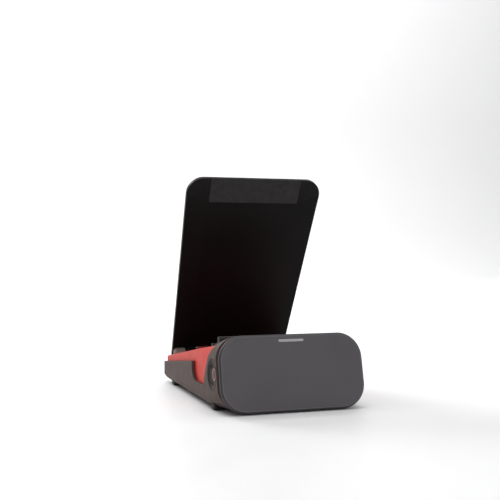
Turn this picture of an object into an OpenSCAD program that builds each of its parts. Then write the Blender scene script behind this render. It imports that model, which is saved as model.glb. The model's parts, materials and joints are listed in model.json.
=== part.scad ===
// Phone-holding launch monitor: a wedge-shaped radar unit whose black backrest
// folds down over the deck. X runs across, Y runs from the face to the rear, Z is up.
// The origin is the centre of the footprint, on the ground.

/* [Body] */
// Width of the outer shell
body_w = 83; // [82:0.5:84]
// Length from the foot of the face to the rear end
body_l = 134; // [133:1:135]
// Thickness of the outer shell's walls
wall_t = 2; // [1.8:0.1:2.2]
// Clear height under the shell
ground_gap = 1.8; // [1.6:0.1:1.8]
// Radius along the bottom edges
bottom_r = 4.5; // [4:0.5:5.5]

/* [Face] */
// Lean of the face back from upright, in degrees
face_lean = 13.6; // [12:0.2:14]
// Height of the face plate, measured along its slope
face_h = 41; // [40:0.5:41]
// Width of the face plate
face_w = 81.6; // [80:0.2:82]
// Corner radius of the face plate
face_r = 13.5; // [10:0.5:14]
// Thickness of the face plate
face_t = 2.2; // [2:0.1:2.2]
// Thickness of the dark gasket ring behind the face plate
seam_t = 2.2; // [2:0.1:2.2]

/* [Deck] */
// Slope of the deck down to the rear, in degrees
deck_slope = 9.4; // [9:0.1:9.6]
// Height of the deck's rim where it meets the front block
deck_front_z = 35.2; // [35:0.1:35.4]
// Thickness of the deck's walls
deck_t = 1.8; // [1.6:0.1:2]

/* [Backrest] */
// Length of the backrest from its hinge axis
rest_l = 123; // [115:1:123]
// Half width of the backrest at the hinge
rest_w0 = 38.1; // [37:0.1:38.1]
// Half width of the backrest at its free end
rest_w1 = 42.4; // [39:0.1:42.5]
// Thickness of the backrest plate
rest_t = 2.7; // [2.5:0.1:2.7]
// Lean of the open backrest towards the face, in degrees
rest_lean = 28; // [26:0.5:30]
// Corner radius at the backrest's free end
rest_r = 10; // [6:0.5:14]
// Radius of the hinge barrel
barrel_r = 4.4; // [4.4:0.1:4.5]
// Radius of the hinge pins
pin_r = 1.5; // [1.3:0.1:1.5]

/* [Phone rest] */
// Lean of a phone that stands in the groove, in degrees
phone_lean = 15.2; // [14:0.2:16]
// Width of the groove that holds the phone's edge
groove_w = 9.5; // [9:0.1:10]
// Half width of the rubber phone rest
phone_rest_w = 36; // [32:0.5:36]

/* [Power button] */
// Radius of the dished bezel
bezel_r = 8.4; // [8.2:0.1:8.5]
// Radius of the button's cap
button_r = 2.55; // [2.5:0.05:2.6]
// Distance of the button behind the foot of the face
button_d = 18.8; // [18.8:0.1:19]
// Height of the button's centre
button_z = 19.5; // [19.5:0.1:20]

/* [Hidden] */
$fn = 64;

shell_grey = [0.36, 0.34, 0.34];
face_grey = [0.29, 0.29, 0.31];
deck_red = [0.72, 0.25, 0.23];
near_black = [0.05, 0.05, 0.055];
rubber_black = [0.08, 0.08, 0.08];
seam_grey = [0.16, 0.15, 0.15];
lit_white = [0.85, 0.86, 0.88];
lit_red = [0.75, 0.35, 0.38];
steel = [0.7, 0.7, 0.72];
board_green = [0.08, 0.30, 0.18];
chip_black = [0.10, 0.10, 0.11];
copper_gold = [0.80, 0.60, 0.25];
cell_blue = [0.20, 0.28, 0.42];
cable_amber = [0.70, 0.45, 0.15];

half_w = body_w / 2;
inner_w = body_w - 2 * wall_t;
fit = 0.1;
through = 60;

// Front block: where its top meets the deck, and where its front rim starts
block_d = 19.5;
block_front_d = 15;
block_front_z = 39.6;
// Solid lower front corners inside, and the rounding cut from them outside
front_corner_r = 11;
front_corner_d = 25.8;
corner_blend_r = 12.5;
corner_blend_d = 6;
corner_blend_angle = 6;
block_top_r = 12;
face_base = 1.1;
front_off = (face_t + seam_t + fit) / cos(face_lean);
foot_of_face = face_base * sin(face_lean);

// Side walls of the shell behind the block
wall_rear_z = 12.9;
wall_slope = 7;
notch_z = 11.2;
notch_d = 60.6;
notch_r = 8;
// Circle of the curved rear edge of the block's sides
block_side_r = 57.8;
block_side_d = -18.5;
block_side_z = -8;
rear_r = 11;
corner_r = 4;
inner_z = ground_gap + 3.6;

// Hinge axis of the backrest
hinge_d = 121.5;
hinge_z = deck_front_z - (hinge_d - block_d) * tan(deck_slope);
trough_r = barrel_r + 0.7;
plate_front = barrel_r - rest_t;
cap_x0 = 30.4;
cap_x1 = 37.7;
ear_x0 = 14.2;
ear_x1 = 21.8;
joint_gap = 0.6;
running = 0.06;

// Deck
deck_half = inner_w / 2 - fit;
deck_start = block_d + 0.2;
deck_end = body_l - wall_t - 0.2;
deck_sink = 1;
skirt_z = inner_z + 0.5;
skirt_end = 112;
rim_half = 38.4;

// Phone rest
groove_d = 26.9;
groove_z = deck_front_z + 0.4;
lip_d = 22.4;
lip_top = 38.9;
pocket_d0 = 22;
pocket_d1 = 39;
pocket_depth = 3;

// Boards and battery
board_t = 1.6;
board_z = 5.8;
board_w = 72;
board_d0 = 18;
board_d1 = 62;
base_t = 2;
base_top = ground_gap + base_t;
base_half = 35.4;
base_d0 = 9;
base_d1 = 115;
radar_depth = 8;
radar_w = 60;
radar_post_x = 26;
radar_y0 = 9;
radar_y1 = 33;
light_y = face_h - 2.4;
light_w = 14.4;
light_h = 1.4;
boss_x = 30;
boss_front_d = 19.5;
boss_rear_d = 104;
port_d = 30.5;
port_z = board_z + board_t + 1.7;
dish_depth = 1.2;
// Outer radius of the lit ring, and the bore of the bezel's sleeve round it
ring_r = 3.25;
bore_r = ring_r + 0.07;
sleeve_r = bore_r + 0.5;
foot_w = 6.8;
foot_l = 7.5;
foot_x = 36.2;
foot_front_d = 19.8;
foot_rear_d = 110.5;

function rim_z(d) = deck_front_z - (d - block_d) * tan(deck_slope);
function wall_z(d) = wall_rear_z + (body_l - d) * tan(wall_slope);
function front_d(z) = z * tan(face_lean) + front_off;

// ---------- placing helpers ----------

// Moves shapes drawn from the foot of the face to the frame's origin
module in_frame() {
    translate([0, -(foot_of_face + body_l) / 2, 0]) children();
}

// Extrudes an outline of distance and height across the body
module across(width) {
    rotate([90, 0, 90]) linear_extrude(width, center = true) children();
}

// Extrudes an outline of X and Z along the body
module along(d0, d1) {
    translate([0, d1, 0]) rotate([90, 0, 0]) linear_extrude(d1 - d0) children();
}

// Frame of the face: X across, Y up the slope, Z out of the face
module on_face() {
    rotate([90 - face_lean, 0, 0]) children();
}

// Frame of the open backrest: Z along the plate, Y towards its back
module at_hinge() {
    translate([0, hinge_d, hinge_z]) rotate([rest_lean, 0, 0]) children();
}

// A cylinder along X from x0 to x1
module rod(x0, x1, r) {
    translate([x0, 0, 0]) rotate([0, 90, 0]) cylinder(h = x1 - x0, r = r);
}

// A tube along X from x0 to x1
module tube(x0, x1, outer, inner) {
    difference() {
        rod(x0, x1, outer);
        rod(x0 - 1, x1 + 1, inner);
    }
}

// A rectangle centred on X that starts at y = 0, with its own top and bottom radii
module rounded_box_2d(w, h, r_top, r_bottom) {
    difference() {
        translate([-w / 2, 0]) square([w, h]);
        for (side = [-1, 1]) {
            translate([side * w / 2, h]) corner_cut(side, -1, r_top);
            translate([side * w / 2, 0]) corner_cut(side, 1, r_bottom);
        }
    }
}

// What a radius takes off a square corner at the origin
module corner_cut(side_x, side_y, r) {
    difference() {
        translate([side_x < 0 ? -1 : -r, side_y < 0 ? -r : -1]) square([r + 1, r + 1]);
        translate([-side_x * r, side_y * r]) circle(r);
    }
}

// ---------- outer shell ----------

// Side outline of the body, grown inwards by t
module body_side(t) {
    difference() {
        polygon([
            [front_d(ground_gap) - (t > 0 ? 9 : 0), ground_gap + t],
            [body_l - t, ground_gap + t],
            [body_l - t, deck_front_z + (t > 0 ? 10 : 0)],
            [block_d, deck_front_z + (t > 0 ? 10 : 0)],
            [block_d, deck_front_z - t * 0.9],
            [block_front_d, block_front_z - t * 1.1],
            [front_d(block_front_z) - (t > 0 ? 9 : 0), block_front_z - t * 1.1]
        ]);
        translate([body_l - t, ground_gap + t]) corner_cut(1, 1, rear_r - t);
    }
}

module body_solid() {
    difference() {
        intersection() {
            across(body_w) body_side(0);
            along(-1, body_l + 1) translate([0, ground_gap])
                rounded_box_2d(body_w, block_front_z - ground_gap, block_top_r, bottom_r);
            translate([0, body_l, 0]) rotate([0, 0, 180]) linear_extrude(50)
                rounded_box_2d(body_w, body_l, 0.01, corner_r);
        }
        // Lower front corners as round as the face, fading out towards the rear
        for (side = [-1, 1]) {
            translate([side * half_w, corner_blend_d, ground_gap])
                rotate([-corner_blend_angle, 0, -side * corner_blend_angle])
                    along(-8, 40) corner_cut(side, 1, corner_blend_r);
        }
    }
}

module body_hollow() {
    difference() {
        intersection() {
            across(inner_w) body_side(wall_t);
            along(-9, body_l) translate([0, inner_z])
                rounded_box_2d(inner_w, block_front_z - inner_z - 1.6, block_top_r - 1.8, 0.5);
            translate([0, body_l - wall_t, 0]) rotate([0, 0, 180]) linear_extrude(60)
                rounded_box_2d(inner_w, body_l + 9, 0.01, corner_r - wall_t);
        }
        // Solid lower corners that back the rounder corners of the face
        for (side = [-1, 1]) {
            along(-10, front_corner_d) translate([side * inner_w / 2, inner_z])
                corner_cut(side, 1, front_corner_r);
        }
    }
}

// Side windows and everything above the side walls
module side_notch() {
    across(body_w + 2) difference() {
        polygon([
            [block_d, 60],
            [block_d, notch_z],
            [notch_d, notch_z],
            [notch_d, wall_z(notch_d)],
            [body_l + 1, wall_z(body_l + 1)],
            [body_l + 1, 60]
        ]);
        translate([block_side_d, block_side_z]) circle(block_side_r, $fn = 180);
        translate([notch_d, notch_z]) corner_cut(1, 1, notch_r);
    }
}

module shell_bosses() {
    for (side = [-1, 1]) {
        for (d = [boss_front_d, boss_rear_d]) {
            translate([side * boss_x, d, base_top + fit]) cylinder(h = 8, r = 3.4);
            translate([side * (boss_x + 3.2) - 3.2, d - 1, base_top + 0.8]) cube([6.4, 2, 1.2]);
        }
    }
    button_post_places() {
        rod(wall_t - 0.2, 8.45, 1.8);
        rod(8.4, 10.2, 0.8);
    }
}

// Two posts that carry the power button's board
module button_post_places() {
    translate([-half_w, button_d, button_z]) for (a = [135, 315]) {
        rotate([a, 0, 0]) translate([0, 7.8, 0]) children();
    }
}

module shell_holes() {
    translate([0, button_d, button_z]) {
        rod(-half_w - 1, -half_w + dish_depth + 0.25, bezel_r + fit);
        rod(-half_w - 1, -half_w + wall_t + 1, sleeve_r + fit);
    }
    translate([half_w - 4, port_d, port_z]) rotate([90, 0, 90]) linear_extrude(8)
        translate([0, -2.3]) rounded_box_2d(10.4, 4.6, 2.25, 2.25);
    translate([-base_half - fit, base_d0 - fit, 0])
        cube([2 * (base_half + fit), base_d1 - base_d0 + 2 * fit, base_top + fit]);
    translate([-33, base_d0 + 2, 0]) cube([66, base_d1 - base_d0 - 4, 8]);
}

module outer_shell() {
    color(shell_grey) in_frame() {
        difference() {
            union() {
                difference() {
                    body_solid();
                    body_hollow();
                    side_notch();
                    shell_holes();
                }
                shell_bosses();
            }
            for (side = [-1, 1]) {
                for (d = [boss_front_d, boss_rear_d]) {
                    translate([side * boss_x, d, 0]) cylinder(h = 11, r = 1.02);
                }
            }
        }
    }
}

// ---------- base ----------

module base_plate() {
    color(shell_grey) in_frame() {
        difference() {
            union() {
                intersection() {
                    translate([-base_half, base_d0, ground_gap])
                        cube([2 * base_half, base_d1 - base_d0, base_t]);
                    body_solid();
                }
                board_posts() cylinder(h = board_z - base_top + fit, r = 2.6);
                battery_frame();
            }
            board_posts() translate([0, 0, 1]) cylinder(h = 8, r = 1);
            for (side = [-1, 1]) {
                for (d = [boss_front_d, boss_rear_d]) {
                    translate([side * boss_x, d, 0]) {
                        cylinder(h = base_top + 1, r = 1.35);
                        cylinder(h = ground_gap + 1.2, r = 2.4);
                    }
                }
            }
        }
    }
}

module board_posts() {
    for (side = [-1, 1]) {
        for (d = [board_d0 + 12, board_d1 - 5]) {
            translate([side * 30, d, base_top - fit]) children();
        }
    }
}

module battery_frame() {
    difference() {
        translate([-26.2, 64.6, base_top - fit]) cube([52.4, 48.2, 3]);
        translate([-24.6, 66.2, base_top - 1]) cube([49.2, 45, 6]);
        translate([-12, 60, base_top - 1]) cube([24, 56, 6]);
    }
}

module base_screws() {
    color(steel) in_frame() for (side = [-1, 1]) {
        for (d = [boss_front_d, boss_rear_d]) {
            translate([side * boss_x, d, ground_gap + 0.05]) difference() {
                union() {
                    cylinder(h = 1.1, r = 2.2);
                    cylinder(h = 8, r = 1);
                }
                translate([0, 0, -0.1]) cylinder(h = 0.8, r = 0.9, $fn = 6);
            }
        }
    }
}

// A foot drawn outwards to the side and trimmed to the underside of the shell
module foot(side, d) {
    color(rubber_black) in_frame() {
        difference() {
            translate([side * foot_x, d, 0]) linear_extrude(5)
                rounded_box_2d(foot_w, foot_l, 1.5, 1.5);
            body_solid();
        }
    }
}

module front_left_foot() {
    foot(-1, foot_front_d);
}

module front_right_foot() {
    foot(1, foot_front_d);
}

module rear_left_foot() {
    foot(-1, foot_rear_d);
}

module rear_right_foot() {
    foot(1, foot_rear_d);
}

// ---------- deck ----------

// Side outline of the deck. Its front edge stays behind the power button.
module deck_block(t) {
    across(2 * (deck_half - t)) polygon([
        [deck_start - (t > 0 ? 1 : 0), rim_z(deck_start) - (t > 0 ? 30 : 3)],
        [26.5, 22.5 - (t > 0 ? 20 : 0)],
        [31.5, notch_z - 0.3 - (t > 0 ? 9 : 0)],
        [36, notch_z - 0.3 - (t > 0 ? 9 : 0)],
        [36, skirt_z - (t > 0 ? 3 : 0)],
        [skirt_end, skirt_z - (t > 0 ? 3 : 0)],
        [skirt_end, 11 - (t > 0 ? 3 : 0)],
        [deck_end - t, 11 - (t > 0 ? 3 : 0)],
        [deck_end - t, rim_z(deck_end) - t],
        [deck_start - (t > 0 ? 1 : 0), rim_z(deck_start) - t]
    ]);
}

// A box set into the deck, measured down from the rim line
module deck_pocket(d0, d1, half, depth) {
    across(2 * half) polygon([
        [d0, rim_z(d0) - depth],
        [d1, rim_z(d1) - depth],
        [d1, rim_z(d1) + 5],
        [d0, rim_z(d0) + 5]
    ]);
}

module hinge_ears() {
    for (side = [0, 1]) {
        mirror([side, 0, 0]) translate([0, hinge_d, hinge_z]) difference() {
            union() {
                rod(ear_x0, ear_x1, barrel_r - 0.1);
                translate([ear_x0, -3, -trough_r - 0.6]) cube([ear_x1 - ear_x0, 6, 5]);
            }
            rod(ear_x0 - 1, ear_x1 + 1, pin_r + 0.02);
        }
    }
}

// Lugs that the open backrest leans back against
module rest_stops() {
    for (side = [0, 1]) {
        mirror([side, 0, 0]) at_hinge() translate([4, barrel_r + fit, -5.5]) cube([7, 2, 9]);
    }
}

// Outside limits of the deck seen from the front and from above
module deck_limits() {
    top_z = block_front_z - 1.7;
    intersection() {
        deck_block(0);
        along(0, body_l) translate([0, 1])
            rounded_box_2d(2 * deck_half, top_z - 1, block_top_r - 1.9, 0.01);
        translate([0, deck_end, 0]) rotate([0, 0, 180]) linear_extrude(50)
            rounded_box_2d(2 * deck_half, deck_end, 0.01, corner_r - wall_t);
    }
}

// Space under the deck, less what backs the hinge trough and the phone rest's pocket
module deck_hollow() {
    difference() {
        deck_block(deck_t + deck_sink);
        translate([0, hinge_d, hinge_z]) rod(-half_w, half_w, trough_r + deck_t);
        deck_pocket(pocket_d0 - deck_t, pocket_d1 + deck_t, half_w, pocket_depth + deck_t);
    }
}

module deck_cover() {
    color(deck_red) in_frame() {
        difference() {
            deck_limits();
            deck_hollow();
            deck_pocket(pocket_d1 + 2, hinge_d, 37.4, deck_sink);
            deck_pocket(pocket_d0, pocket_d1, phone_rest_w + 0.2, pocket_depth);
            hinge_trough();
        }
        hinge_ears();
        difference() {
            rest_stops();
            translate([0, deck_end + 5, 0]) cube([100, 10, 100], center = true);
        }
    }
}

module hinge_trough() {
    translate([0, hinge_d, hinge_z]) {
        rod(-rim_half, rim_half, trough_r);
        translate([-rim_half, -trough_r, 0]) cube([2 * rim_half, 2 * trough_r, 12]);
    }
}

// ---------- phone rest ----------

module phone_rest() {
    floor_drop = groove_w * sin(phone_lean);
    floor_run = groove_w * cos(phone_lean);
    lip_rise = lip_top - groove_z;
    color(rubber_black) in_frame() across(2 * phone_rest_w) polygon([
        [pocket_d0 + 0.2, rim_z(pocket_d0) - pocket_depth + 0.05],
        [pocket_d1 - 0.2, rim_z(pocket_d1) - pocket_depth + 0.05],
        [pocket_d1 - 0.2, groove_z - floor_drop + 0.9],
        [groove_d + floor_run + 0.6, groove_z - floor_drop + 1.2],
        [groove_d + floor_run, groove_z - floor_drop],
        [groove_d, groove_z],
        [groove_d - 0.3, lip_top - 0.5],
        [groove_d - 0.9, lip_top],
        [lip_d + 1.6, lip_top],
        [lip_d + 0.6, lip_top - 0.8],
        [pocket_d0 + 0.2, rim_z(pocket_d0) + 0.6]
    ]);
}

// ---------- face ----------

module face_outline(inset) {
    translate([0, face_base + inset])
        rounded_box_2d(face_w - 2 * inset, face_h - 2 * inset, face_r - inset, face_r - inset);
}

module radar_post_places() {
    for (x = [-radar_post_x, radar_post_x]) {
        for (y = [radar_y0 + 3, radar_y1 - 3]) {
            translate([x, y, 0]) children();
        }
    }
}

module led_post_places() {
    for (x = [-13, 13]) {
        translate([x, light_y - 2, 0]) children();
    }
}

module face_plate() {
    color(face_grey) in_frame() on_face() {
        difference() {
            union() {
                translate([0, 0, -face_t]) linear_extrude(face_t) face_outline(0);
                radar_post_places() translate([0, 0, -radar_depth + 0.05])
                    cylinder(h = radar_depth - face_t + fit, r = 2.4);
                led_post_places() translate([0, 0, -3.95]) cylinder(h = 2, r = 1.3);
            }
            light_slot(fit / 2);
            radar_post_places() translate([0, 0, -radar_depth - 1]) cylinder(h = 5.5, r = 1);
        }
    }
}

module light_slot(gap) {
    translate([0, light_y - light_h / 2 - gap, -face_t - 1]) linear_extrude(face_t + 2)
        rounded_box_2d(light_w + 2 * gap, light_h + 2 * gap, light_h / 2, light_h / 2);
}

module light_bar() {
    color(lit_white) in_frame() on_face() {
        intersection() {
            light_slot(0);
            translate([-20, 20, -face_t - 0.5]) cube([40, 30, face_t + 0.5]);
        }
        translate([-light_w / 2 - 1.5, light_y - 1.7, -3.6]) cube([light_w + 3, 2.6, 1.3]);
    }
}

module face_gasket() {
    color(seam_grey) in_frame() on_face() {
        translate([0, 0, -face_t - seam_t + 0.02]) linear_extrude(seam_t - 0.04) difference() {
            face_outline(0.2);
            face_outline(2.6);
        }
    }
}

module led_board() {
    color(board_green) in_frame() on_face() {
        translate([-17, light_y - 4, -5]) cube([34, 4, 1]);
        for (x = [-4.5, 0, 4.5]) {
            translate([x - 0.8, light_y - 1.3, -4.05]) cube([1.6, 1.2, 0.4]);
        }
    }
}

// ---------- radar ----------

module radar_board() {
    color(board_green) in_frame() on_face() difference() {
        union() {
            translate([-radar_w / 2, radar_y0, -radar_depth - board_t])
                cube([radar_w, radar_y1 - radar_y0, board_t]);
            translate([-14.5, radar_y0 + 0.2, -radar_depth - board_t - 1.2]) cube([13, 2, 1.3]);
        }
        radar_post_places() translate([0, 0, -radar_depth - 3]) cylinder(h = 5, r = 1.2);
    }
}

// Rows of square antenna patches on the rear of the board
module antenna_patches() {
    patch = 4.4;
    pitch_x = 6.6;
    pitch_y = 6.4;
    color(copper_gold) in_frame() on_face() {
        for (col = [-3:3]) {
            for (row = [-1:1]) {
                translate([
                    col * pitch_x - patch / 2,
                    (radar_y0 + radar_y1) / 2 + row * pitch_y - patch / 2,
                    -radar_depth - board_t - 0.32
                ]) cube([patch, patch, 0.3]);
            }
        }
    }
}

module radar_shield() {
    color(steel) in_frame() on_face() {
        translate([-15, 13, -radar_depth + 0.02]) difference() {
            cube([30, 15, 3]);
            translate([0.4, 0.4, -1]) cube([29.2, 14.2, 3.6]);
        }
    }
}

module radar_screws() {
    color(steel) in_frame() on_face() radar_post_places() {
        translate([0, 0, -radar_depth - board_t - 1.32]) {
            difference() {
                cylinder(h = 1.3, r = 1.9);
                translate([0, 0, -0.1]) cylinder(h = 0.8, r = 0.8, $fn = 6);
            }
            cylinder(h = 6.2, r = 0.95);
        }
    }
}

// ---------- main board and battery ----------

module main_board() {
    color(board_green) in_frame() difference() {
        translate([-board_w / 2, board_d0, board_z + 0.05])
            cube([board_w, board_d1 - board_d0, board_t - 0.05]);
        board_posts() cylinder(h = 9, r = 1.2);
        for (side = [-1, 1]) {
            translate([side * 36 - 10, board_d0 - 4, 0]) cube([20, 12.2, 20]);
        }
    }
}

module board_screws() {
    top = board_z + board_t + 0.02 - base_top + fit;
    color(steel) in_frame() board_posts() {
        translate([0, 0, top]) difference() {
            cylinder(h = 1.3, r = 1.9);
            translate([0, 0, 0.6]) cylinder(h = 0.8, r = 0.8, $fn = 6);
        }
        translate([0, 0, 1.1]) cylinder(h = top - 1.1, r = 0.95);
    }
}

module chip(x, d, w, l, h) {
    translate([x - w / 2, d - l / 2, board_z + board_t + 0.02]) cube([w, l, h]);
}

module board_chips() {
    color(chip_black) in_frame() {
        chip(16, 50, 9, 9, 1.2);
        chip(16, 37, 7, 7, 1);
        chip(2, 56, 5, 4, 0.9);
        chip(-6, 56, 4, 3, 0.9);
        chip(-26, 44, 6, 8, 3.2);
        chip(-8, 20.4, 13, 3, 1.2);
        for (k = [0:4]) {
            chip(8 + k * 4, 57, 1.6, 0.9, 0.7);
        }
    }
}

module processor_shield() {
    color(steel) in_frame() translate([-19, 34, board_z + board_t + 0.02]) difference() {
        cube([22, 18, 2.6]);
        translate([0.4, 0.4, -1]) cube([21.2, 17.2, 3.2]);
    }
}

// Ribbon between the connectors of the radar board and the main board
module flat_cable() {
    color(cable_amber) in_frame() translate([-8, 0, 0]) across(12) polygon([
        [13.3, 7.4],
        [15.4, 7.3],
        [17.3, 8.3],
        [18.8, 8.4],
        [18.8, 8.65],
        [17.2, 8.55],
        [15.3, 7.55],
        [13.3, 7.65]
    ]);
}

module battery_pack() {
    color(cell_blue) in_frame() translate([-24, 66.6, base_top + 1]) {
        cube([48, 44, 8.6]);
        translate([14.5, -1.3, 1]) cube([19, 1.3, 6.6]);
    }
}

module battery_pad() {
    color(chip_black) in_frame() translate([-20, 70, base_top + 0.02]) cube([40, 37, 0.94]);
}

module charging_port() {
    color(steel) in_frame() translate([half_w - 8.2, port_d, port_z]) rotate([90, 0, 90]) {
        difference() {
            linear_extrude(7.6) translate([0, -1.6]) rounded_box_2d(9, 3.2, 1.58, 1.58);
            translate([0, 0, 1.2]) linear_extrude(8)
                translate([0, -1.25]) rounded_box_2d(8.3, 2.5, 1.23, 1.23);
        }
        translate([-3.3, -0.35, 1]) cube([6.6, 0.7, 5.6]);
    }
}

// ---------- power button ----------

module button_bezel() {
    rim_x = -half_w + 0.05;
    color(shell_grey) in_frame() translate([0, button_d, button_z]) rotate([0, 90, 0])
        rotate_extrude() polygon([
            [bore_r, rim_x + dish_depth],
            [bezel_r - 2.8, rim_x + dish_depth - 0.1],
            [bezel_r - 1.7, rim_x + dish_depth - 0.35],
            [bezel_r - 0.9, rim_x + dish_depth - 0.75],
            [bezel_r - 0.4, rim_x + 0.08],
            [bezel_r, rim_x],
            [bezel_r, rim_x + dish_depth + 0.2],
            [sleeve_r, rim_x + dish_depth + 0.2],
            [sleeve_r, rim_x + 2.5],
            [bore_r, rim_x + 2.5]
        ]);
}

module button_light_ring() {
    color(lit_red) in_frame() translate([-half_w, button_d, button_z])
        tube(dish_depth, 2.5, ring_r, button_r + 0.1);
}

module power_button() {
    color(face_grey) in_frame() translate([-half_w, button_d, button_z]) {
        rod(dish_depth - 0.1, 2.6, button_r);
        rod(2.65, 3.4, ring_r - 0.2);
        rod(2.5, 3.5, 2);
        rod(3.4, 7, 1.1);
    }
}

module power_switch() {
    color(chip_black) in_frame() translate([-half_w, button_d, button_z]) difference() {
        translate([5.2, -3, -3]) cube([3.28, 6, 6]);
        rod(5, 8, 1.16);
    }
}

module button_board() {
    color(board_green) in_frame() difference() {
        translate([-half_w + 8.5, button_d - 8, button_z - 7.5]) cube([1, 16, 15]);
        button_post_places() rod(8, 10.5, 0.9);
    }
}

// ---------- backrest ----------

// Outline of the backrest plate: it widens to round corners at the free end
module rest_outline() {
    flare = (rest_w1 - rest_w0) / rest_l;
    side_len = sqrt(1 + flare * flare);
    round_z = rest_l - rest_r;
    round_x = rest_w0 + flare * round_z - rest_r * side_len;
    tangent_x = round_x + rest_r / side_len;
    tangent_z = round_z - rest_r * flare / side_len;
    polygon([
        [-rest_w0, 0],
        [rest_w0, 0],
        [tangent_x, tangent_z],
        [round_x, round_z],
        [round_x, rest_l],
        [-round_x, rest_l],
        [-round_x, round_z],
        [-tangent_x, tangent_z]
    ]);
    for (side = [-1, 1]) {
        translate([side * round_x, round_z]) circle(rest_r);
    }
}

// Room for the rubber grip along the free end
module grip_room(gap) {
    translate([-28 - gap, plate_front - 2, rest_l - 15 - gap]) cube([56 + 2 * gap, 3.2 + gap, 20]);
}

module backrest_panel() {
    color(near_black) in_frame() at_hinge() difference() {
        union() {
            translate([0, barrel_r, 0]) rotate([90, 0, 0]) linear_extrude(rest_t) rest_outline();
            rod(-ear_x0 + joint_gap, ear_x0 - joint_gap, barrel_r);
            for (side = [0, 1]) {
                mirror([side, 0, 0]) rod(ear_x1 + joint_gap, cap_x0 - 0.2, barrel_r);
                mirror([side, 0, 0]) intersection() {
                    rod(cap_x0 - 1, rest_w0, barrel_r);
                    translate([0, plate_front, -10]) cube([through, 10, 20]);
                }
            }
        }
        for (side = [0, 1]) {
            mirror([side, 0, 0]) {
                rod(ear_x0 - joint_gap, ear_x1 + joint_gap, barrel_r + 0.35);
                rod(7.4, through, pin_r + running);
            }
        }
        grip_room(fit);
        translate([-20, barrel_r - 0.6, 40]) cube([40, 2, 50]);
    }
}

module backrest_grip() {
    color(rubber_black) in_frame() at_hinge() {
        translate([-28, plate_front - 0.9, rest_l - 15]) cube([56, 2.1, 14.2]);
        translate([0, plate_front + 0.15, rest_l - 0.8]) rod(-28, 28, 1.05);
    }
}

module hinge_cap() {
    in_frame() at_hinge() difference() {
        rod(cap_x0, cap_x1, barrel_r);
        translate([cap_x0 - 1, plate_front - 0.02, -10]) cube([12, 10, 20]);
        rod(cap_x0 - 1, cap_x1 - 0.8, pin_r + running);
    }
}

module hinge_cap_right() {
    color(shell_grey) hinge_cap();
}

module hinge_cap_left() {
    color(shell_grey) mirror([1, 0, 0]) hinge_cap();
}

module hinge_pins() {
    color(steel) in_frame() translate([0, hinge_d, hinge_z]) {
        rod(8, cap_x1 - 1, pin_r);
        rod(-cap_x1 + 1, -8, pin_r);
    }
}

module hinge_washers() {
    color(steel) in_frame() translate([0, hinge_d, hinge_z]) {
        for (side = [0, 1]) {
            mirror([side, 0, 0]) {
                tube(ear_x0 - joint_gap + 0.05, ear_x0 - 0.02, 3.8, pin_r + 0.03);
                tube(ear_x1 + 0.02, ear_x1 + joint_gap - 0.05, 3.8, pin_r + 0.03);
            }
        }
    }
}

outer_shell();
base_plate();
deck_cover();
face_plate();
face_gasket();
light_bar();
phone_rest();
backrest_panel();
backrest_grip();
hinge_cap_left();
hinge_cap_right();
hinge_pins();
hinge_washers();
button_bezel();
button_light_ring();
power_button();
power_switch();
button_board();
radar_board();
antenna_patches();
radar_shield();
led_board();
main_board();
board_chips();
processor_shield();
flat_cable();
battery_pack();
battery_pad();
charging_port();
base_screws();
board_screws();
radar_screws();
front_left_foot();
front_right_foot();
rear_left_foot();
rear_right_foot();
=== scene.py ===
import json
import math

import bmesh
import bpy
from mathutils import Matrix, Vector

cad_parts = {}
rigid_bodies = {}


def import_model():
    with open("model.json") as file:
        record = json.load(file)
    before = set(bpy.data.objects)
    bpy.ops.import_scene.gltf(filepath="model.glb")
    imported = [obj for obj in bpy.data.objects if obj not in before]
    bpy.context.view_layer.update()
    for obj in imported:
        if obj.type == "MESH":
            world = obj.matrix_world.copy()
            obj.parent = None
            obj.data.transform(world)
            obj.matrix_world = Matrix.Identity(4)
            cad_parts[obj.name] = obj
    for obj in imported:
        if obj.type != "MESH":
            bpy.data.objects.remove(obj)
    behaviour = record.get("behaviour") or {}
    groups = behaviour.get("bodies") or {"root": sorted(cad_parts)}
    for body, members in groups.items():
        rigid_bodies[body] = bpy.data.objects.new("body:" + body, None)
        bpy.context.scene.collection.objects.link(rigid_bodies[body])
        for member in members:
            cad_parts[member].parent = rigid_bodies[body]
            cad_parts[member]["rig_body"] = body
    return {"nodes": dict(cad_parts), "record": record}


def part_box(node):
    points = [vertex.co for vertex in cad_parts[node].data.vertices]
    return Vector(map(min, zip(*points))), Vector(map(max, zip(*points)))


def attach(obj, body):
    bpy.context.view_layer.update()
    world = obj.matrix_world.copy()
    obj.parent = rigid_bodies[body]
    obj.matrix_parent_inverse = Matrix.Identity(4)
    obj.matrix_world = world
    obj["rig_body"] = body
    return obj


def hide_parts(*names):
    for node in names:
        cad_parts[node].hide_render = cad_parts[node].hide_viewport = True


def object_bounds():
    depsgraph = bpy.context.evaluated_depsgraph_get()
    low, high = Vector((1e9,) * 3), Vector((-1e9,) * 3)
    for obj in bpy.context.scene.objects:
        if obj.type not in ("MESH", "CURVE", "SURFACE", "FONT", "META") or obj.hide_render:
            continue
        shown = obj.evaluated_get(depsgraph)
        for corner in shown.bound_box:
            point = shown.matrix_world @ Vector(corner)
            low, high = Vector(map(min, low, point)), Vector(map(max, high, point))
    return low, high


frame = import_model()
cad_low, cad_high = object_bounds()

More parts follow.
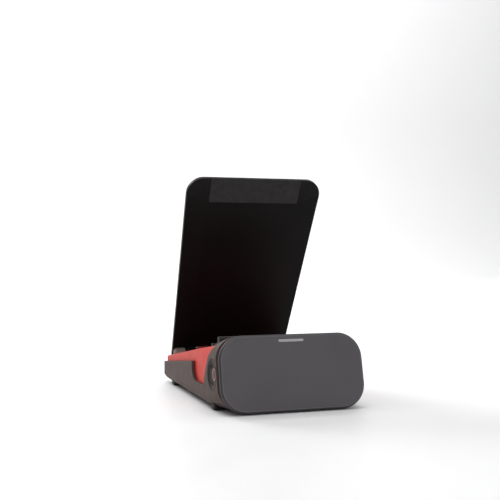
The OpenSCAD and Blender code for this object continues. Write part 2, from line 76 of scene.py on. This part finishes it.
MM = 0.001
FACE_LEAN = math.radians(13.6)
FOOT_AHEAD = 0.2587 * MM  # from the foremost point of the CAD to where the face's plane meets the ground
SEGMENTS = 2              # of an ordinary rounded edge
SHARP_ANGLE = 28          # degrees: a convex edge sharper than this is rounded
SMOOTH_ANGLE = 32         # degrees: an edge flatter than this is shaded smooth
FLAT_WEIGHT = 80          # how strongly the large faces decide the shading normals
MERGE = 2e-6              # metres: corners closer than this are one corner
FLAT_ANGLE = 0.6          # degrees: faces that meet at less than this are one face

# Reference points and slots, worked out from the frame
foot_y = cad_low.y - FOOT_AHEAD
button_centre = sum(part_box("power_button"), Vector()) / 2
slots = {s["node"]: s["material_slot"] for s in frame["record"]["subparts"]}

# The frame of the leaning face: X across, Y up the plate, Z out of its front
FACE = Matrix.Translation((0, foot_y, 0)) @ Matrix.Rotation(math.pi / 2 - FACE_LEAN, 4, "X")
light_bar_centre = FACE.inverted() @ (sum(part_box("light_bar"), Vector()) / 2)


# ---------- materials ----------

class Graph:
    """Short names for building one node material."""

    def __init__(self, name):
        self.material = bpy.data.materials.new(name)
        self.material.use_nodes = True
        self.tree = self.material.node_tree
        self.shader = self.tree.nodes["Principled BSDF"]
        self.coords = self.add("ShaderNodeTexCoord").outputs["Object"]

    def add(self, kind, **settings):
        node = self.tree.nodes.new(kind)
        for key, value in settings.items():
            setattr(node, key, value)
        return node

    def link(self, output, socket):
        self.tree.links.new(output, socket)

    def noise(self, scale, detail=3.0, rough=0.6, stretch=(1, 1, 1)):
        mapping = self.add("ShaderNodeMapping")
        mapping.inputs["Scale"].default_value = stretch
        self.link(self.coords, mapping.inputs["Vector"])
        node = self.add("ShaderNodeTexNoise")
        node.inputs["Scale"].default_value = scale
        node.inputs["Detail"].default_value = detail
        node.inputs["Roughness"].default_value = rough
        self.link(mapping.outputs["Vector"], node.inputs["Vector"])
        return node.outputs["Fac"]

    def cells(self, scale):
        node = self.add("ShaderNodeTexVoronoi")
        node.inputs["Scale"].default_value = scale
        self.link(self.coords, node.inputs["Vector"])
        return node.outputs["Distance"]

    def span(self, value, low, high, out_low, out_high):
        node = self.add("ShaderNodeMapRange")
        node.inputs["From Min"].default_value = low
        node.inputs["From Max"].default_value = high
        node.inputs["To Min"].default_value = out_low
        node.inputs["To Max"].default_value = out_high
        self.link(value, node.inputs["Value"])
        return node.outputs["Result"]

    def mix(self, factor, first, second):
        node = self.add("ShaderNodeMix", data_type="RGBA")
        self.link(factor, node.inputs["Factor"])
        for socket, colour in ((node.inputs["A"], first), (node.inputs["B"], second)):
            if isinstance(colour, tuple):
                socket.default_value = (*colour, 1)
            else:
                self.link(colour, socket)
        return node.outputs["Result"]

    def bump(self, height, strength, distance, under=None):
        node = self.add("ShaderNodeBump")
        node.inputs["Strength"].default_value = strength
        node.inputs["Distance"].default_value = distance
        self.link(height, node.inputs["Height"])
        if under is not None:
            self.link(under, node.inputs["Normal"])
        return node.outputs["Normal"]

    def edges(self, low=0.52, high=0.60):
        """1 on convex edges, 0 on flats."""
        geometry = self.add("ShaderNodeNewGeometry")
        return self.span(geometry.outputs["Pointiness"], low, high, 0, 1)

    def wire(self, **outputs):
        for key, output in outputs.items():
            self.link(output, self.shader.inputs[key.replace("_", " ")])


def tone(colour, factor):
    return tuple(min(1.0, c * factor) for c in colour)


def moulded(name, colour, rough, grain=6500, depth=0.02, edge_wear_and_highlight=0.25, spread=0.06, shine=0.42, painted_light=None):
    """Moulded plastic: spark-eroded grain, slightly uneven colour and lighter edges, partly edge wear and
    partly painted highlight.
    """
    g = Graph(name)
    broad = g.span(g.noise(38, 4), 0.3, 0.7, 0, 1)
    fine = g.noise(grain, 2, 0.5)
    pits = g.cells(grain * 0.45)
    base = g.mix(broad, tone(colour, 1 - spread), tone(colour, 1 + spread))
    speck = g.span(fine, 0.35, 0.75, 0, 0.22)
    base = g.mix(speck, base, tone(colour, 1.45))
    # convex edges painted lighter: partly edge wear, partly painted highlight
    edge = g.edges()
    wear_and_highlight = g.span(edge, 0, 1, 0, edge_wear_and_highlight)
    base = g.mix(wear_and_highlight, base, tone(colour, 1.7))
    # the function passed in paints shade and highlight into the colour
    if painted_light:
        base = painted_light(g, base, colour)
    roughness = g.span(g.noise(160, 5), 0.3, 0.7, rough - 0.05, rough + 0.06)
    soft = g.bump(fine, 0.35, depth * MM)
    soft = g.bump(pits, 0.25, depth * 1.4 * MM, soft)
    g.wire(Base_Color=base, Roughness=roughness, Normal=soft)
    g.shader.inputs["Specular IOR Level"].default_value = shine
    return g.material


def face_edge_painted_light(g, base, colour):
    """Painted shade on the face plate's rounded edge, with a painted highlight line where the flat ends.
    """
    depth = g.add("ShaderNodeVectorMath", operation="DOT_PRODUCT")
    g.link(g.coords, depth.inputs[0])
    normal = FACE.to_3x3() @ Vector((0, 0, 1))
    depth.inputs[1].default_value = normal
    flat = normal.dot(FACE.translation)
    # painted shade on the rounded edge, and a painted highlight line where the flat ends
    painted_shade = g.span(depth.outputs["Value"], flat - 0.04 * MM, flat - 0.16 * MM, 0, 1)
    painted_highlight = g.span(depth.outputs["Value"], flat - 0.002 * MM, flat - 0.01 * MM, 0, 0.6)
    return g.mix(painted_shade, g.mix(painted_highlight, base, tone(colour, 1.7)), tone(colour, 0.42))


def slot_painted_shade(g, base, colour):
    """Painted shade: darkens whatever lies deeper than the floor of the button's dish."""
    parts = g.add("ShaderNodeSeparateXYZ")
    g.link(g.coords, parts.inputs["Vector"])
    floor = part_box("button_light_ring")[0].x
    # painted shade in the slots, almost black
    painted_shade = g.span(parts.outputs["X"], floor + 0.08 * MM, floor + 0.3 * MM, 0, 1)
    return g.mix(painted_shade, base, (0.004, 0.003, 0.003))


def rubber(name, colour, rough=0.82):
    """Soft rubber: dusty bloom, pores and no gloss."""
    g = Graph(name)
    dust = g.span(g.noise(210, 6, 0.65), 0.42, 0.75, 0, 0.5)
    base = g.mix(dust, colour, tone(colour, 1.6))
    pores = g.noise(5200, 3, 0.7)
    roughness = g.span(g.noise(300, 3), 0.3, 0.7, rough - 0.07, rough + 0.08)
    g.wire(Base_Color=base, Roughness=roughness, Normal=g.bump(pores, 0.4, 0.03 * MM))
    g.shader.inputs["Specular IOR Level"].default_value = 0.3
    g.shader.inputs["Sheen Weight"].default_value = 0.08
    return g.material


def satin_black(name, colour, rough):
    """The backrest: smooth black plastic with faint waves, fine hairline marks and a painted highlight on
    its edges.
    """
    g = Graph(name)
    flow = g.noise(14, 2, 0.4)
    hair = g.noise(900, 2, 0.5, (1, 0.05, 0.05))
    base = g.mix(g.span(flow, 0.3, 0.7, 0, 1), colour, tone(colour, 1.6))
    # edges painted lighter: painted highlight
    base = g.mix(g.span(g.edges(0.515, 0.58), 0, 1, 0, 0.7), base, (0.028, 0.026, 0.027))
    roughness = g.span(hair, 0.35, 0.7, rough - 0.02, rough + 0.03)
    waves = g.bump(flow, 0.12, 0.4 * MM)
    g.wire(Base_Color=base, Roughness=roughness, Normal=g.bump(g.noise(7000, 2), 0.2, 0.012 * MM, waves))
    g.shader.inputs["Specular IOR Level"].default_value = 0.10
    return g.material


def milky(name, colour, glow, deep):
    """A light guide: cloudy translucent plastic with a faint glow."""
    g = Graph(name)
    cloud = g.span(g.noise(700, 3), 0.3, 0.7, 0, 1)
    g.wire(
        Base_Color=g.mix(cloud, tone(colour, 0.9), tone(colour, 1.08)),
        Roughness=g.span(g.noise(900, 2), 0.3, 0.7, 0.28, 0.42),
        Emission_Color=g.mix(cloud, tone(deep, 0.9), tone(deep, 1.1)),
    )
    g.shader.inputs["Emission Strength"].default_value = glow
    g.shader.inputs["Subsurface Weight"].default_value = 0.25
    g.shader.inputs["Subsurface Scale"].default_value = 0.6 * MM
    return g.material


def metal(name, colour, rough, brush=(1, 1, 14)):
    """Plated or ground metal: fine lines, stains and uneven shine."""
    g = Graph(name)
    lines = g.noise(1400, 3, 0.6, brush)
    stain = g.span(g.noise(420, 5), 0.4, 0.7, 0, 0.5)
    g.wire(
        Base_Color=g.mix(stain, colour, tone(colour, 0.72)),
        Roughness=g.span(lines, 0.3, 0.7, rough - 0.08, rough + 0.12),
        Normal=g.bump(lines, 0.25, 0.01 * MM),
    )
    g.shader.inputs["Metallic"].default_value = 1.0
    return g.material


def circuit(name, colour):
    """Solder resist over copper tracks."""
    g = Graph(name)
    brick = g.add("ShaderNodeTexBrick")
    brick.inputs["Scale"].default_value = 330
    brick.inputs["Mortar Size"].default_value = 0.012
    brick.inputs["Color1"].default_value = (*colour, 1)
    brick.inputs["Color2"].default_value = (*tone(colour, 1.5), 1)
    brick.inputs["Mortar"].default_value = (*tone(colour, 2.6), 1)
    g.link(g.coords, brick.inputs["Vector"])
    dots = g.span(g.cells(900), 0.08, 0.14, 0.6, 0)
    g.wire(
        Base_Color=g.mix(dots, brick.outputs["Color"], (0.45, 0.42, 0.3)),
        Roughness=g.span(g.noise(500, 3), 0.3, 0.7, 0.3, 0.45),
        Normal=g.bump(brick.outputs["Fac"], 0.2, 0.02 * MM),
    )
    return g.material


LOOKS = {
    "shell_plastic": moulded("shell_plastic", (0.084, 0.059, 0.052), 0.60, edge_wear_and_highlight=0.14, shine=0.14),
    # darker than the shell: partly its own darker plastic, partly painted shade for the hollow of the
    # dish
    "bezel_plastic": moulded(
        "bezel_plastic", (0.034, 0.029, 0.025), 0.55, edge_wear_and_highlight=0.20, shine=0.14, painted_light=slot_painted_shade),
    "base_plastic": moulded("base_plastic", (0.060, 0.055, 0.054), 0.55),
    "deck_plastic": moulded(
        "deck_plastic", (0.620, 0.052, 0.038), 0.50, depth=0.012, edge_wear_and_highlight=0.10, shine=0.15),
    "face_plastic": moulded(
        "face_plastic", (0.104, 0.096, 0.106), 0.55, edge_wear_and_highlight=0.10, shine=0.30, painted_light=face_edge_painted_light),
    # light warm grey, painted highlight: stands for the gleam on the rounded hinge ends
    "cap_plastic": moulded("cap_plastic", (0.300, 0.225, 0.200), 0.30, depth=0.008, edge_wear_and_highlight=0.20),
    "button_plastic": moulded("button_plastic", (0.110, 0.070, 0.066), 0.50, shine=0.14),
    "seam_rubber": rubber("seam_rubber", (0.036, 0.031, 0.030)),
    "grip_rubber": rubber("grip_rubber", (0.019, 0.018, 0.019)),
    "foot_rubber": rubber("foot_rubber", (0.012, 0.012, 0.012)),
    "battery_foam": rubber("battery_foam", (0.030, 0.030, 0.030)),
    "backrest_plastic": satin_black("backrest_plastic", (0.0030, 0.0024, 0.0024), 0.42),
    "light_guide": milky("light_guide", (0.42, 0.41, 0.42), 0.03, (0.8, 0.8, 0.82)),
    "ring_guide": milky("ring_guide", (0.34, 0.13, 0.14), 0.03, (0.7, 0.25, 0.28)),
    "pin_steel": metal("pin_steel", (0.60, 0.60, 0.62), 0.26, (14, 1, 1)),
    "screw_steel": metal("screw_steel", (0.45, 0.45, 0.47), 0.32),
    "shield_steel": metal("shield_steel", (0.66, 0.66, 0.66), 0.30),
    "antenna_copper": metal("antenna_copper", (0.85, 0.60, 0.24), 0.28),
    "circuit_board": circuit("circuit_board", (0.018, 0.095, 0.045)),
    "chip_plastic": moulded("chip_plastic", (0.020, 0.020, 0.022), 0.45, edge_wear_and_highlight=0.1),
    "ribbon_film": moulded("ribbon_film", (0.360, 0.150, 0.028), 0.30, edge_wear_and_highlight=0.05),
    "battery_wrap": moulded("battery_wrap", (0.050, 0.105, 0.200), 0.36, edge_wear_and_highlight=0.05),
}


# ---------- mesh helpers ----------

def sharp_edges(bm):
    """Outer edges sharper than SHARP_ANGLE. Inner corners stay as they are."""
    limit = math.radians(SHARP_ANGLE)
    outer = [e for e in bm.edges if len(e.link_faces) == 2 and e.is_convex]
    return [e for e in outer if e.calc_face_angle(0) > limit]


def clean(bm):
    """Joins the CAD mesh's split corners and its triangles into whole faces."""
    bmesh.ops.remove_doubles(bm, verts=bm.verts, dist=MERGE)
    bmesh.ops.dissolve_degenerate(bm, dist=MERGE, edges=bm.edges)
    bmesh.ops.dissolve_limit(
        bm, angle_limit=math.radians(FLAT_ANGLE), use_dissolve_boundaries=False,
        verts=bm.verts, edges=bm.edges, delimit={"NORMAL"})


def round_edges(bm, edges, width, segments):
    if edges:
        bmesh.ops.bevel(
            bm, geom=edges, offset=width * MM, offset_type="OFFSET", segments=segments,
            profile=0.5, affect="EDGES", clamp_overlap=False, loop_slide=True, miter_outer="ARC")


def finish_mesh(bm, mesh):
    bmesh.ops.triangulate(bm, faces=[f for f in bm.faces if len(f.verts) > 4])
    bmesh.ops.recalc_face_normals(bm, faces=bm.faces)
    for f in bm.faces:
        f.smooth = True
    bm.to_mesh(mesh)
    bm.free()
    mesh.set_sharp_from_angle(angle=math.radians(SMOOTH_ANGLE))
    mesh.update()


def body_of_node(node):
    return frame["nodes"][node]["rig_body"]


def new_piece(name, bm, look, body, node):
    """Makes a piece of the mesh, with its material, slot and body, that stands for one CAD node."""
    mesh = bpy.data.meshes.new(name)
    finish_mesh(bm, mesh)
    mesh.materials.append(LOOKS[look])
    piece = bpy.data.objects.new(name, mesh)
    bpy.context.scene.collection.objects.link(piece)
    weighted = piece.modifiers.new("weighted_normals", "WEIGHTED_NORMAL")
    weighted.keep_sharp = True
    weighted.weight = FLAT_WEIGHT
    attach(piece, body)
    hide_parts(node)


def skin(node, width, rules=()):
    """A rounded copy of a CAD node. Each rule is (test of an edge, radius, segments)."""
    bm = bmesh.new()
    bm.from_mesh(frame["nodes"][node].data)
    clean(bm)
    left = sharp_edges(bm)
    for test, radius, segments in rules:
        chosen = [e for e in left if test(e)]
        left = [e for e in left if e not in chosen]
        round_edges(bm, chosen, radius, segments)
        left = [e for e in left if e.is_valid]
    round_edges(bm, left, width, SEGMENTS)
    new_piece(node + "_skin", bm, slots[node], body_of_node(node), node)


def revolve(profile, axis_at, steps, dent):
    """A closed solid turned about a line along X. Profile points are (radius, x), both in metres."""
    bm = bmesh.new()
    rings = []
    for k in range(steps):
        a = 2 * math.pi * k / steps
        ring = []
        for radius, x in profile:
            y = axis_at.y + radius * math.cos(a)
            z = axis_at.z + radius * math.sin(a)
            ring.append(bm.verts.new((x + dent(radius, a), y, z)))
        rings.append(ring)
    count = len(profile)
    for k in range(steps):
        here, there = rings[k], rings[(k + 1) % steps]
        for i in range(count):
            j = (i + 1) % count
            bm.faces.new((here[i], here[j], there[j], there[i]))
    return bm


def smoothstep(value):
    value = max(0.0, min(1.0, value))
    return value * value * (3 - 2 * value)


def make_bezel():
    """The dish round the power button, with two short curved slots above and below the ring."""
    low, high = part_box("button_bezel")
    ring_low, ring_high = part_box("button_light_ring")
    outer = (high.z - low.z) / 2
    bore = (ring_high.z - ring_low.z) / 2 + 0.07 * MM  # clears the ring
    face_x = low.x
    floor_x = ring_low.x + 0.05 * MM                   # the ring stands a little above the floor
    depth = floor_x - face_x
    back_x = floor_x + 0.2 * MM
    hub = bore + 0.5 * MM                              # outer radius of the sleeve behind the dish
    floor_start = bore + 0.1 * MM
    floor_end = outer - 0.28 * MM
    profile = [(hub, high.x), (bore, high.x), (bore, floor_x + 0.12 * MM), (floor_start, floor_x)]
    rows, curve, lift = 22, 2.6, 0.97                  # the dish rises slowly, then steeply at its rim
    for k in range(1, rows + 1):
        t = k / rows
        profile.append((floor_start + (floor_end - floor_start) * t, floor_x - depth * lift * t ** curve))
    profile += [
        (outer - 0.12 * MM, face_x), (outer - 0.03 * MM, face_x + 0.05 * MM), (outer, face_x + 0.16 * MM),
        (outer, back_x), (hub, back_x)]

    slot_radius = (bore + outer) / 2 - 0.1 * MM
    slot_width, slot_side, slot_depth = 0.34 * MM, 0.14 * MM, 0.9 * MM
    slot_angles, slot_half_length, slot_end = (48, -66), 13, 3
    no_slot_beyond = outer - 0.5 * MM

    def slot_dent(radius, angle):
        """How far the dish is sunk at this radius and angle. The slots' angles are in degrees."""
        if radius >= no_slot_beyond:
            return 0.0
        across = 1 - smoothstep((abs(radius - slot_radius) - slot_width) / slot_side)
        along = 0.0
        for centre in slot_angles:
            away = abs((math.degrees(angle) - centre + 180) % 360 - 180)
            along = max(along, 1 - smoothstep((away - slot_half_length) / slot_end))
        return slot_depth * across * along

    bm = revolve(profile, button_centre, 240, slot_dent)
    new_piece("bezel_dish", bm, "bezel_plastic", "unit", "button_bezel")


# Radius in mm of the ordinary rounded edges of each node that gets a rounded copy
SKINS = {
    "outer_shell": 0.35, "deck_cover": 0.3, "face_plate": 0.2, "phone_rest": 0.3,
    "backrest_panel": 0.35, "backrest_grip": 0.25, "base_plate": 0.2,
    "hinge_cap_left": 0.15, "hinge_cap_right": 0.15, "face_gasket": 0.3,
    "power_button": 0.2, "button_light_ring": 0.08, "light_bar": 0.08,
    "front_left_foot": 0.4, "front_right_foot": 0.4, "rear_left_foot": 0.4, "rear_right_foot": 0.4,
}


def on_face_front(edge):
    """True for the outline edges of the face plate's front, and not for those of the light bar's slot."""
    slot_reach_x, slot_reach_y = 9 * MM, 1.5 * MM
    ends = [FACE.inverted() @ v.co for v in edge.verts]
    middle = (ends[0] + ends[1]) / 2
    flat = abs(ends[0].z - ends[1].z) < 0.001 * MM
    away = middle - light_bar_centre
    in_slot = abs(away.x) < slot_reach_x and abs(away.y) < slot_reach_y
    return middle.z > -0.01 * MM and flat and not in_slot


def on_cap_end(edge):
    """True for the edges round a hinge cap's outer end, with the one along its flat side."""
    end = -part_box("hinge_cap_left")[0].x
    return all(abs(abs(v.co.x) - end) < 0.01 * MM for v in edge.verts)


# Larger roundings: which edges, radius in mm, segments
RULES = {
    "face_plate": [(on_face_front, 1.3, 6)],
    "hinge_cap_left": [(on_cap_end, 2.0, 6)],
    "hinge_cap_right": [(on_cap_end, 2.0, 6)],
}

for name, radius in SKINS.items():
    skin(name, radius, RULES.get(name, ()))
make_bezel()

for name, obj in frame["nodes"].items():
    if name not in SKINS and name != "button_bezel":
        obj.data.materials.clear()
        obj.data.materials.append(LOOKS[slots[name]])


# ---------- floor, light and camera ----------

def floor_material():
    g = Graph("floor_paper")
    g.wire(
        Base_Color=g.mix(g.noise(3, 3), (0.93, 0.93, 0.935), (0.95, 0.95, 0.955)),
        Roughness=g.span(g.noise(40, 4), 0.3, 0.7, 0.42, 0.52),
        Normal=g.bump(g.noise(900, 2), 0.05, 0.02 * MM),
    )
    return g.material


def make_floor():
    """White paper that lies flat, curves up behind the object and ends as a wall. Sizes are in metres."""
    bm = bmesh.new()
    rows = []
    front, back, radius, top, wide, steps = -6.0, 1.6, 0.5, 2.6, 8.0, 12
    profile = [(front, 0.0), (back, 0.0)]
    for k in range(1, steps + 1):
        a = math.pi / 2 * k / steps
        profile.append((back + radius * math.sin(a), radius * (1 - math.cos(a))))
    profile.append((back + radius, top))
    for y, z in profile:
        rows.append([bm.verts.new((x, y, z)) for x in (-wide, wide)])
    for a, b in zip(rows, rows[1:]):
        bm.faces.new((a[0], a[1], b[1], b[0]))
    mesh = bpy.data.meshes.new("floor")
    for f in bm.faces:
        f.smooth = True
    bm.to_mesh(mesh)
    bm.free()
    floor = bpy.data.objects.new("floor", mesh)
    mesh.materials.append(floor_material())
    bpy.context.scene.collection.objects.link(floor)


def area_light(name, place, target, width, height, power):
    light = bpy.data.lights.new(name, "AREA")
    light.shape = "RECTANGLE"
    light.size = width
    light.size_y = height
    light.energy = power
    lamp = bpy.data.objects.new(name, light)
    lamp.location = place
    lamp.rotation_mode = "QUATERNION"
    lamp.rotation_quaternion = (Vector(target) - Vector(place)).to_track_quat("-Z", "Y")
    bpy.context.scene.collection.objects.link(lamp)


def make_world(strength):
    world = bpy.data.worlds.new("studio")
    world.use_nodes = True
    world.node_tree.nodes["Background"].inputs["Color"].default_value = (1, 1, 1, 1)
    world.node_tree.nodes["Background"].inputs["Strength"].default_value = strength
    bpy.context.scene.world = world


def make_camera(offset, yaw, pitch, lens):
    """The camera fitted to the photo, placed from the foot of the face."""
    data = bpy.data.cameras.new("camera")
    data.sensor_width = 36
    data.lens = lens
    data.clip_start = 0.01
    data.clip_end = 20
    camera = bpy.data.objects.new("camera", data)
    level = math.cos(pitch)
    forward = Vector((math.sin(yaw) * level, math.cos(yaw) * level, math.sin(pitch)))
    camera.location = Vector((0, foot_y, 0)) + Vector(offset)
    camera.rotation_mode = "QUATERNION"
    camera.rotation_quaternion = forward.to_track_quat("-Z", "Y")
    bpy.context.scene.collection.objects.link(camera)
    bpy.context.scene.camera = camera


make_floor()
make_world(strength=0.34)
make_camera((-0.17053, -0.43123, 0.08673), math.radians(18.497), math.radians(-0.108), lens=63.36)
bpy.context.scene.view_settings.view_transform = "Standard"
# Places, targets and sizes in metres, power in watts
area_light("key", (-0.6, 1.3, 1.0), (0, 0, 0.03), 0.6, 0.6, 11)
area_light("front", (0.1, -1.5, 0.8), (0, 0, 0.03), 1.2, 0.7, 2.9)
area_light("top", (0.0, 0.1, 1.5), (0, 0, 0), 1.0, 1.0, 9.5)
area_light("backdrop", (0.0, 1.0, 1.9), (0, 2.1, 0.8), 3.0, 0.6, 34)
